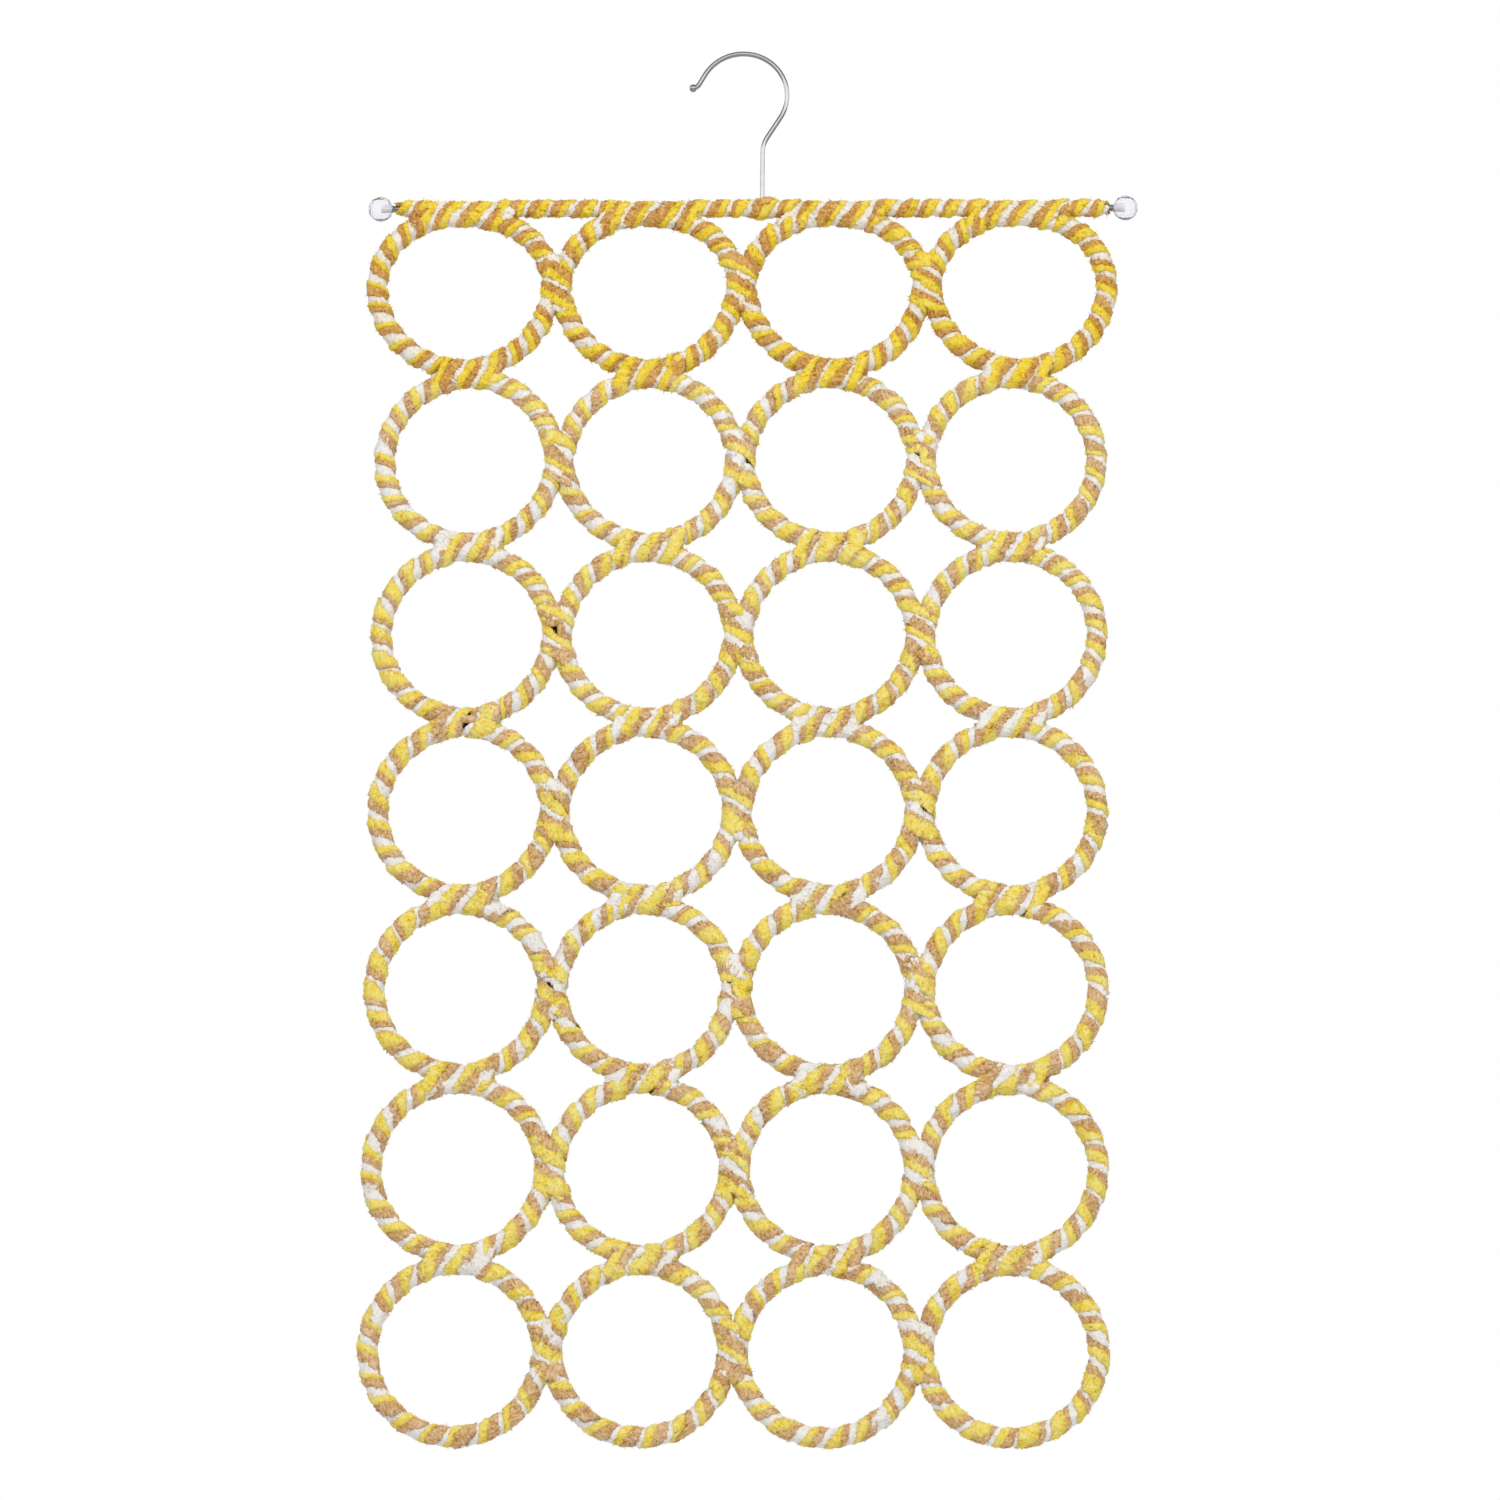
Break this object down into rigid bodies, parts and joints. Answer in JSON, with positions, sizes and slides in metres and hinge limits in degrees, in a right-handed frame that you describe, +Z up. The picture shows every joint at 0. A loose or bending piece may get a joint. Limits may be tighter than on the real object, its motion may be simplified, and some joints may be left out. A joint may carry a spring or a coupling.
{
  "type": "scarf hanger",
  "caption": "Hanging scarf organiser: a swivel hook carries a yarn-wound bar with clear ball ends, and rows of yarn-wound rings lashed below it, each row folding on the row above.",
  "frame": {"origin": "inside top of the hook, where it sits on a rail", "axes": "+X along the bar, +Y towards the back, +Z up"},
  "size_m": [0.3694, 0.0162, 0.6807],
  "materials": {
    "hook_chrome": "polished chrome plate",
    "bar_steel": "plain steel",
    "clear_acrylic": "clear faceted acrylic",
    "ring_core": "dark moulded plastic",
    "white_yarn": "white chenille yarn",
    "yellow_yarn": "yellow chenille yarn",
    "tan_yarn": "tan chenille yarn"
  },
  "bodies": {
    "hook": {"hook": "hook_chrome", "hook_tip_ball": "hook_chrome"},
    "bar": {"swivel_washer": "bar_steel", "bar_core": "bar_steel", "left_finial_ball": "clear_acrylic", "left_finial_ferrule": "bar_steel", "right_finial_ball": "clear_acrylic", "right_finial_ferrule": "bar_steel", "bar_white_yarn": "white_yarn", "bar_yellow_yarn": "yellow_yarn", "bar_tan_yarn": "tan_yarn", "ring_row_1_col_1": "ring_core", "ring_row_1_col_2": "ring_core", "ring_row_1_col_3": "ring_core", "ring_row_1_col_4": "ring_core", "row_1_white_yarn": "white_yarn", "row_1_yellow_yarn": "yellow_yarn", "row_1_tan_yarn": "tan_yarn"},
    "row_2": {"ring_row_2_col_1": "ring_core", "ring_row_2_col_2": "ring_core", "ring_row_2_col_3": "ring_core", "ring_row_2_col_4": "ring_core", "row_2_white_yarn": "white_yarn", "row_2_yellow_yarn": "yellow_yarn", "row_2_tan_yarn": "tan_yarn"},
    "row_3": {"ring_row_3_col_1": "ring_core", "ring_row_3_col_2": "ring_core", "ring_row_3_col_3": "ring_core", "ring_row_3_col_4": "ring_core", "row_3_white_yarn": "white_yarn", "row_3_yellow_yarn": "yellow_yarn", "row_3_tan_yarn": "tan_yarn"},
    "row_4": {"ring_row_4_col_1": "ring_core", "ring_row_4_col_2": "ring_core", "ring_row_4_col_3": "ring_core", "ring_row_4_col_4": "ring_core", "row_4_white_yarn": "white_yarn", "row_4_yellow_yarn": "yellow_yarn", "row_4_tan_yarn": "tan_yarn"},
    "row_5": {"ring_row_5_col_1": "ring_core", "ring_row_5_col_2": "ring_core", "ring_row_5_col_3": "ring_core", "ring_row_5_col_4": "ring_core", "row_5_white_yarn": "white_yarn", "row_5_yellow_yarn": "yellow_yarn", "row_5_tan_yarn": "tan_yarn"},
    "row_6": {"ring_row_6_col_1": "ring_core", "ring_row_6_col_2": "ring_core", "ring_row_6_col_3": "ring_core", "ring_row_6_col_4": "ring_core", "row_6_white_yarn": "white_yarn", "row_6_yellow_yarn": "yellow_yarn", "row_6_tan_yarn": "tan_yarn"},
    "row_7": {"ring_row_7_col_1": "ring_core", "ring_row_7_col_2": "ring_core", "ring_row_7_col_3": "ring_core", "ring_row_7_col_4": "ring_core", "row_7_white_yarn": "white_yarn", "row_7_yellow_yarn": "yellow_yarn", "row_7_tan_yarn": "tan_yarn"}
  },
  "joints": [
    {"name": "hook_swivel", "type": "hinge", "parent": "hook", "child": "bar", "pos_m": [0.0096, 0, -0.077], "axis": [0, 0, 1], "continuous": true},
    {"name": "row_2_fold", "type": "hinge", "parent": "bar", "child": "row_2", "pos_m": [0, 0, -0.1623], "axis": [1, 0, 0], "range_deg": [-45, 45]},
    {"name": "row_3_fold", "type": "hinge", "parent": "row_2", "child": "row_3", "pos_m": [0, 0, -0.2483], "axis": [1, 0, 0], "range_deg": [-45, 45]},
    {"name": "row_4_fold", "type": "hinge", "parent": "row_3", "child": "row_4", "pos_m": [0, 0, -0.3343], "axis": [1, 0, 0], "range_deg": [-45, 45]},
    {"name": "row_5_fold", "type": "hinge", "parent": "row_4", "child": "row_5", "pos_m": [0, 0, -0.4203], "axis": [1, 0, 0], "range_deg": [-45, 45]},
    {"name": "row_6_fold", "type": "hinge", "parent": "row_5", "child": "row_6", "pos_m": [0, 0, -0.5063], "axis": [1, 0, 0], "range_deg": [-45, 45]},
    {"name": "row_7_fold", "type": "hinge", "parent": "row_6", "child": "row_7", "pos_m": [0, 0, -0.5923], "axis": [1, 0, 0], "range_deg": [-45, 45]}
  ]
}
